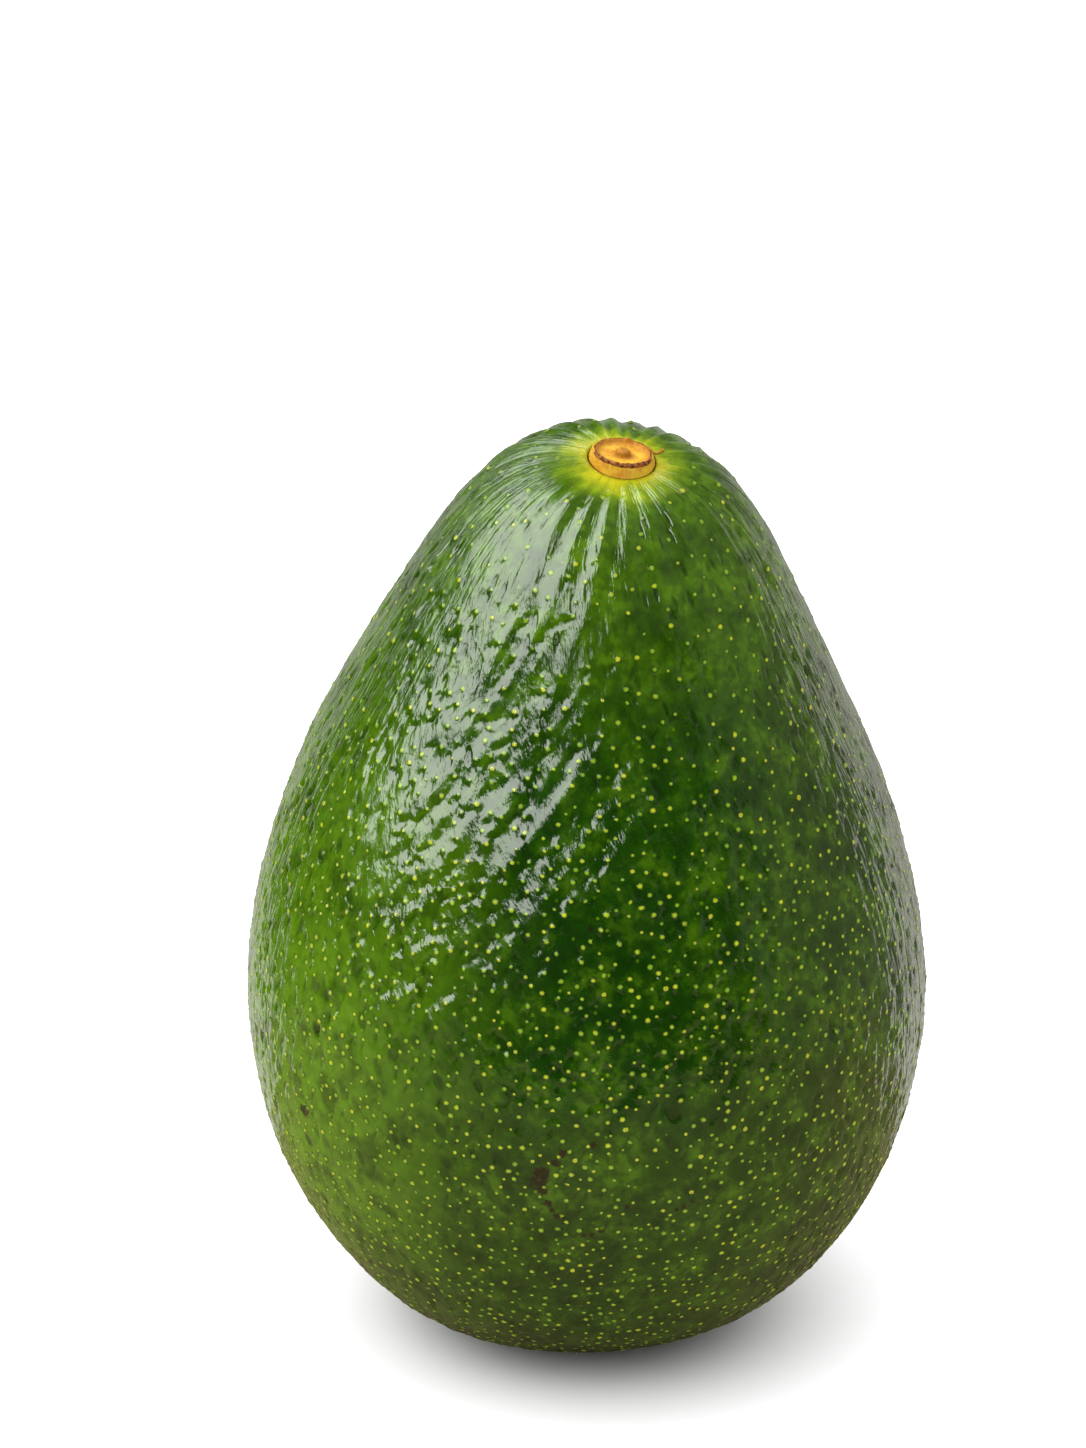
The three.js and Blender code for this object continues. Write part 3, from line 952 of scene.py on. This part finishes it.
# %% Green of the skin
def skin_green(tree):
    """Green in soft patches, paler on the left by painted light, darker low down and in pits by painted
    shade.
    """
    broad = mottle(tree, width=0.022, contrast=1.1)
    middle = mottle(tree, width=0.0042, contrast=1.5)
    small = mottle(tree, width=0.0013, contrast=1.4)
    side, _, height = split(tree, place(tree))
    # Painted light: the left side, towards the lamp, is painted paler green.
    painted_light_on_left = step(tree, plus(tree, side, times(tree, broad, 0.012)), -0.03, 0.002, 1.0, 0.0)
    green = mix(tree, step(tree, broad, -0.2, 1.2), DARK_GREEN, MID_GREEN)
    away = calc(tree, "MAXIMUM", step(tree, height, 0.028, 0.048, 1.0, 0.0), step(tree, side, 0.008, 0.026))
    green = mix(tree, times(tree, away, 0.65), green, OLIVE_GREEN)
    pale = times(tree, step(tree, middle, 0.2, 1.2), step(tree, small, 0.0, 1.0, 0.2, 1.0))
    pale = plus(tree, times(tree, pale, 0.28), step(tree, height, 0.07, 0.1, 0.0, 0.3))
    pale = calc(tree, "MAXIMUM", pale, times(tree, painted_light_on_left, 0.75))
    green = mix(tree, pale, green, PALE_GREEN)
    # Painted shade darkens the skin low down, near the floor. The two mottle steps below add darker patches
    # of the skin's own tone.
    under = step(tree, height, 0.0, 0.035, 0.45, 0.0)
    under = plus(tree, under, step(tree, small, 0.1, 1.0, 0.25, 0.0))
    under = plus(tree, under, step(tree, middle, -0.2, 0.5, 0.4, 0.0))
    green = mix(tree, under, green, DEEP_GREEN)
    # Painted shade: the pits' colour is darkened towards deep green.
    sunk_with_painted_shade = times(tree, step(tree, read(tree, "hollow"), 0.0, 1.0), 0.45)
    return mix(tree, sunk_with_painted_shade, green, DEEP_GREEN)


# %% Pimples, scars and the yellow ring
def skin_pimples(tree, green):
    """Pale pimples, some with a corky tip."""
    low = step(tree, split(tree, place(tree))[2], 0.03, 0.09, 0.75, 0.3)
    specks = use(tree, SPECKLE, Width=0.0016, Share=0.75, Size=0.15, Place=place(tree))
    faint = times(tree, specks["Mask"], times(tree, specks["Shade"], low))
    green = mix(tree, faint, green, PIMPLE_GREEN)
    pimple = read(tree, "pimple")
    ragged = mottle(tree, width=0.0005, contrast=1.0)
    edge = plus(tree, pimple, times(tree, minus(tree, ragged, 0.5), 0.25))
    tint = read(tree, "tint")
    pale = mix(tree, times(tree, tint, tint), PIMPLE_GREEN, PIMPLE_PALE)
    # The dark ring round each pimple is partly the skin's own darker green and partly painted shade beside
    # the raised pimple.
    ring = times(tree, step(tree, pimple, 0.0, 0.25), 0.6)
    colour = mix(tree, step(tree, edge, 0.18, 0.85), mix(tree, ring, green, DEEP_GREEN), pale)
    corky = times(tree, step(tree, edge, 0.8, 0.95), step(tree, tint, 0.88, 0.92))
    return mix(tree, corky, colour, CORK)


def skin_scars(tree, colour):
    """Brown specks here and there, and the scars, with ragged edges."""
    specks = use(tree, SPECKLE, Width=0.0045, Share=0.16, Size=0.1, Place=place(tree))
    colour = mix(tree, times(tree, specks["Mask"], specks["Shade"]), colour, SCAR_BROWN)
    for x, y, z, size in SCARS:
        centre = (x * MM, y * MM, z * MM)
        mask = use(tree, SPOT, Centre=centre, Size=1.15 * size * MM, Raggedness=0.6)["Mask"]
        colour = mix(tree, times(tree, mask, 0.9), colour, SCAR_BROWN)
    return colour


def skin_halo(tree, colour):
    """Yellow round the stalk, in rays that follow the folds."""
    ragged = mottle(tree, width=0.003, contrast=1.3)
    rays = times(tree, read(tree, "fold"), 0.0002)
    edge = minus(tree, distance_to(tree, tuple(stalk_top)), rays)
    edge = minus(tree, edge, times(tree, ragged, 0.0016))
    front_to_back = split(tree, place(tree))[1]
    behind = step(tree, front_to_back, stalk_top[1] + 0.001, stalk_top[1] + 0.0055, 0.0, 0.0013)
    edge = plus(tree, edge, behind)
    colour = mix(tree, step(tree, edge, 0.0036, 0.0078, 0.8, 0.0), colour, HALO_GREEN)
    return mix(tree, step(tree, edge, 0.0025, 0.0054, 1.0, 0.0), colour, HALO_YELLOW)


# %% Gloss, fine relief and the whole material
def strands(tree, drum):
    """Height of long thin ridges that run from the stalk to the base, strongest at the sides."""
    ridges = use(tree, GRAIN, Width=0.0012, Length=11.0, Place=drum)["Height"]
    across, _, up = split(tree, drum)
    at_side = step(tree, calc(tree, "ABSOLUTE", across), 0.021, 0.0288, 0.15, 3.2)
    near_stalk = step(tree, up, -0.024, -0.010, 0.0, 0.5)
    return times(tree, ridges, calc(tree, "MAXIMUM", at_side, near_stalk))


def build_skin():
    material, tree, shader = new_material("waxy_skin")
    drum = add(tree, "ShaderNodeAttribute", attribute_name="drum").outputs["Vector"]
    dimples = use(tree, SPECKLE, Width=0.0016, Share=0.8, Size=0.38, Length=2.2, Turn=(0, 0.4, 0), Place=drum)
    sunk_with_painted_shade = times(tree, dimples["Mask"], dimples["Shade"])
    # Painted shade: the dimples' colour darkens towards deep green. They also sink in the bump below.
    green = mix(tree, times(tree, sunk_with_painted_shade, 0.75), skin_green(tree), DEEP_GREEN)
    colour = skin_scars(tree, skin_halo(tree, skin_pimples(tree, green)))
    tree.links.new(colour, shader.inputs["Base Color"])
    dull = mottle(tree, width=0.009, contrast=1.3)
    speck = mottle(tree, width=0.0012, contrast=1.2)
    gloss = plus(tree, step(tree, dull, 0.2, 0.9, 0.09, 0.15), times(tree, speck, 0.03))
    gloss = calc(tree, "MAXIMUM", gloss, step(tree, read(tree, "pimple"), 0.0, 0.35, 0.0, 0.3))
    tree.links.new(gloss, shader.inputs["Roughness"])
    fine = use(tree, GRAIN, Width=0.0009, Length=3.0, Turn=(0, 0.4, 0), Place=drum)["Height"]
    finer = use(tree, GRAIN, Width=0.0004, Length=2.0, Turn=(0, 0.4, 0), Place=drum)["Height"]
    height = plus(tree, times(tree, fine, 1.4), times(tree, finer, 0.4))
    height = times(tree, height, read(tree, "rough"))
    height = minus(tree, height, times(tree, sunk_with_painted_shade, 0.6))
    height = plus(tree, height, strands(tree, drum))
    height = plus(tree, height, step(tree, read(tree, "pimple"), 0.0, 0.85, 0.0, 0.2))
    bump = add(tree, "ShaderNodeBump", {"Strength": 0.8, "Distance": 0.00016, "Height": height})
    tree.links.new(bump.outputs[0], shader.inputs["Normal"])
    return material


skin.data.materials.append(build_skin())
print("Nodes in the skin's material:", len(skin.data.materials[0].node_tree.nodes))

# %% [markdown]
# ## The dry stub
#
# The stub is corky and dull: orange tan on the cone, browner round the dish and the core, and
# dark on the torn lip and at the foot. On the front the dark band reaches down under the lip:
# dark bark, and painted shade under its overhang. Fine fibres run up the cone.

# %% Stub colours
TAN = (0.52, 0.31, 0.018, 1)
TAN_DEEP = (0.44, 0.20, 0.011, 1)
TAN_PALE = (0.60, 0.38, 0.05, 1)
TAN_BROWN = (0.32, 0.12, 0.010, 1)
BARK = (0.055, 0.012, 0.002, 1)
BARK_PALE = (0.28, 0.09, 0.02, 1)


def build_stalk():
    material, tree, shader = new_material("dry_stalk")
    patches = mottle(tree, width=0.0016, contrast=1.3)
    small = mottle(tree, width=0.0004, contrast=1.2)
    fibre = use(tree, GRAIN, Width=0.00035, Length=6.0, Turn=(0.28, 0.1, 0), Place=place(tree))["Height"]
    tan = mix(tree, step(tree, patches, 0.1, 0.9), TAN_DEEP, TAN)
    tan = mix(tree, step(tree, small, 0.3, 1.0, 0.0, 0.35), tan, TAN_PALE)
    reach = read(tree, "reach")
    brown = step(tree, reach, 1.8, 2.8, 0.0, 0.75)
    brown = times(tree, brown, step(tree, reach, 2.95, 3.15, 1.0, 0.0))
    tan = mix(tree, calc(tree, "MAXIMUM", brown, step(tree, reach, 0.9, 1.6, 0.7, 0.0)), tan, TAN_BROWN)
    bark = mix(tree, step(tree, small, 0.1, 0.9), BARK, BARK_PALE)
    edge = plus(tree, read(tree, "lip"), times(tree, patches, 0.35))
    colour = mix(tree, step(tree, edge, 0.45, 0.8), tan, bark)
    core = plus(tree, read(tree, "core"), times(tree, small, 0.2))
    colour = mix(tree, step(tree, core, 0.3, 0.8), colour, mix(tree, 0.6, bark, TAN_DEEP))
    colour = mix(tree, step(tree, read(tree, "rise"), 0.0, 0.08, 0.7, 0.0), colour, BARK)
    tree.links.new(colour, shader.inputs["Base Color"])
    tree.links.new(step(tree, patches, 0.1, 0.9, 0.45, 0.65), shader.inputs["Roughness"])
    shader.inputs["Specular IOR Level"].default_value = 0.18
    height = plus(tree, fibre, times(tree, small, 0.6))
    bump = add(tree, "ShaderNodeBump", {"Strength": 0.4, "Distance": 0.00012, "Height": height})
    tree.links.new(bump.outputs[0], shader.inputs["Normal"])
    return material


DRY_STALK = build_stalk()
stub.data.materials.append(DRY_STALK)
thread.data.materials.append(DRY_STALK)
print("Nodes in the stub's material:", len(DRY_STALK.node_tree.nodes))

# %% [markdown]
# ## Floor, light and camera
#
# Shade and gloss are lit apart. For the shade, a soft lamp stands at the left front and the
# surroundings brighten upwards, so that the shadow stays close under the fruit. For the gloss,
# the surroundings hold a bright screen at the left front. Its mirror image in the skin is the
# broad pale highlight. A pale wall behind gives the grey lines at the sides, a dark card at the
# right front keeps the middle of the fruit deep green, and a dull, darker sheet on the floor
# stands in for the floor's shade in the underside's gloss, a painted shade that also warms it.
# Card and sheet are seen only in the gloss. The colours are shown as they are, without a film
# curve.

# %% Floor, card and light
MIDDLE = Vector((0, 0, 0.06))


def rectangle(half_width, front, back):
    """Corners of a rectangle on the floor."""
    return [(-half_width, front, 0), (half_width, front, 0), (half_width, back, 0), (-half_width, back, 0)]


def make_sheet(name, corners, colour):
    mesh = bpy.data.meshes.new(name)
    mesh.from_pydata(corners, [], [(0, 1, 2, 3)])
    material, _, shader = new_material(name + "_paint")
    shader.inputs["Base Color"].default_value = colour
    shader.inputs["Roughness"].default_value = 1
    shader.inputs["Specular IOR Level"].default_value = 0
    mesh.materials.append(material)
    sheet = bpy.data.objects.new(name, mesh)
    bpy.context.collection.objects.link(sheet)
    return sheet


def towards(azimuth, elevation):
    """Direction at an azimuth from the front towards +X, and an elevation, in degrees."""
    a, e = math.radians(azimuth), math.radians(elevation)
    return Vector((math.sin(a) * math.cos(e), -math.cos(a) * math.cos(e), math.sin(e)))


def place_light(name, direction, distance, width, height, radiance):
    """A flat soft light that faces the fruit. A radiance of 1 looks white."""
    lamp = bpy.data.lights.new(name, "AREA")
    lamp.shape = "RECTANGLE"
    lamp.size = width
    lamp.size_y = height
    lamp.energy = 4 * width * height * radiance
    light = bpy.data.objects.new(name, lamp)
    light.location = MIDDLE + distance * direction
    light.rotation_euler = direction.to_track_quat("Z", "Y").to_euler()
    light.visible_camera = False
    bpy.context.collection.objects.link(light)
    return light


floor = make_sheet("floor", rectangle(4, -4, 4), (0.9, 0.9, 0.9, 1))
floor.visible_glossy = False
card_corners = [towards(-33, -20), towards(50, -20), towards(54, 16), towards(-28, 16)]
# A dull, darker sheet on the floor, seen only in the gloss: painted shade of the floor in the underside's
# reflection, which also warms it.
floor_shade_in_gloss = make_sheet("floor_shade_in_gloss", rectangle(0.25, -0.4, 0.03), (0.24, 0.20, 0.10, 1))
floor_shade_in_gloss.location.z = 0.05 * MM
card = make_sheet("dark_card", [MIDDLE + 0.3 * c for c in card_corners], (0.01, 0.01, 0.01, 1))
for sheet in (floor_shade_in_gloss, card):
    for ray in ("camera", "diffuse", "shadow", "transmission"):
        setattr(sheet, "visible_" + ray, False)
fill_light = place_light("fill_light", towards(-72, 37), 1.6, 2.0, 1.6, 1.35)
fill_light.visible_glossy = False

print("Sheets:", [sheet.name for sheet in (floor, floor_shade_in_gloss, card)], "and light:", fill_light.name)

# %% Surroundings
WARM_WALL = (1.0, 0.92, 0.74, 1)
WALL_BEHIND = (1.5, 1.42, 1.3, 1)
FAR_BEHIND = (0.6, 0.58, 0.54, 1)
SCREEN_LIGHT = (8.5, 8.6, 8.3, 1)
world = bpy.data.worlds.new("white_room")
bpy.context.scene.world = world
world.use_nodes = True
sky = world.node_tree
background = sky.nodes["Background"]
where_to = add(sky, "ShaderNodeTexCoord").outputs["Generated"]
# Parts of a direction, each from -1 to 1: to the right, away from the camera, and up.
across, back, up = split(sky, where_to)
right_wall = step(sky, across, 0.1, 1.0, 0.03, 0.36)
wall = mix(sky, right_wall, (0, 0, 0, 1), WARM_WALL)
behind = mix(sky, step(sky, back, 0.6, 0.97), WALL_BEHIND, FAR_BEHIND)
low_share = step(sky, up, 0.08, 0.42, 1.0, 0.12)
on_left = step(sky, across, -0.1, 0.1, 1.0, 0.0)
setback = times(sky, on_left, step(sky, up, -0.34, -0.22, -0.12, 0.13))
reach = minus(sky, back, setback)
lit = mix(sky, times(sky, step(sky, reach, 0.57, 0.64), low_share), wall, behind)
foot = step(sky, across, -0.88, -0.68, 0.16, 0.325)
foot = plus(sky, foot, step(sky, across, -0.42, -0.28, 0.0, -0.07))
over_foot = step(sky, minus(sky, up, foot), -0.03, 0.04)
screen = times(sky, step(sky, across, -0.27, -0.16, 1.0, 0.0), over_foot)
screen = times(sky, screen, step(sky, back, 0.38, 0.52, 1.0, 0.0))
back_of_height = minus(sky, back, up)
screen = times(sky, screen, step(sky, back_of_height, -0.3, -0.17, 1.0, 0.0))
in_gloss = mix(sky, screen, lit, SCREEN_LIGHT)
in_shade = step(sky, up, 0.16, 0.88, 0.05, 2.8)
path = add(sky, "ShaderNodeLightPath")
sky.links.new(mix(sky, path.outputs["Is Glossy Ray"], in_shade, in_gloss), background.inputs["Color"])
bpy.context.scene.view_settings.view_transform = "Standard"
print("Nodes in the surroundings:", len(sky.nodes))

# %% Camera
CAMERA_DISTANCE = 0.531
CAMERA_HEIGHT_ANGLE = math.radians(24)
LOOK_DOWN = math.radians(22.14)
LOOK_ASIDE = math.radians(-0.54)
camera_data = bpy.data.cameras.new("camera")
camera_data.lens = 120
camera_data.sensor_width = 36
camera = bpy.data.objects.new("camera", camera_data)
stand_back = Vector((0, -math.cos(CAMERA_HEIGHT_ANGLE), math.sin(CAMERA_HEIGHT_ANGLE)))
camera.location = Vector(STAND) + CAMERA_DISTANCE * stand_back
level = math.cos(LOOK_DOWN)
aim = Vector((math.sin(LOOK_ASIDE) * level, math.cos(LOOK_ASIDE) * level, -math.sin(LOOK_DOWN)))
camera.rotation_euler = aim.to_track_quat("-Z", "Y").to_euler()
bpy.context.collection.objects.link(camera)
bpy.context.scene.camera = camera
print("Camera at", camera.location)
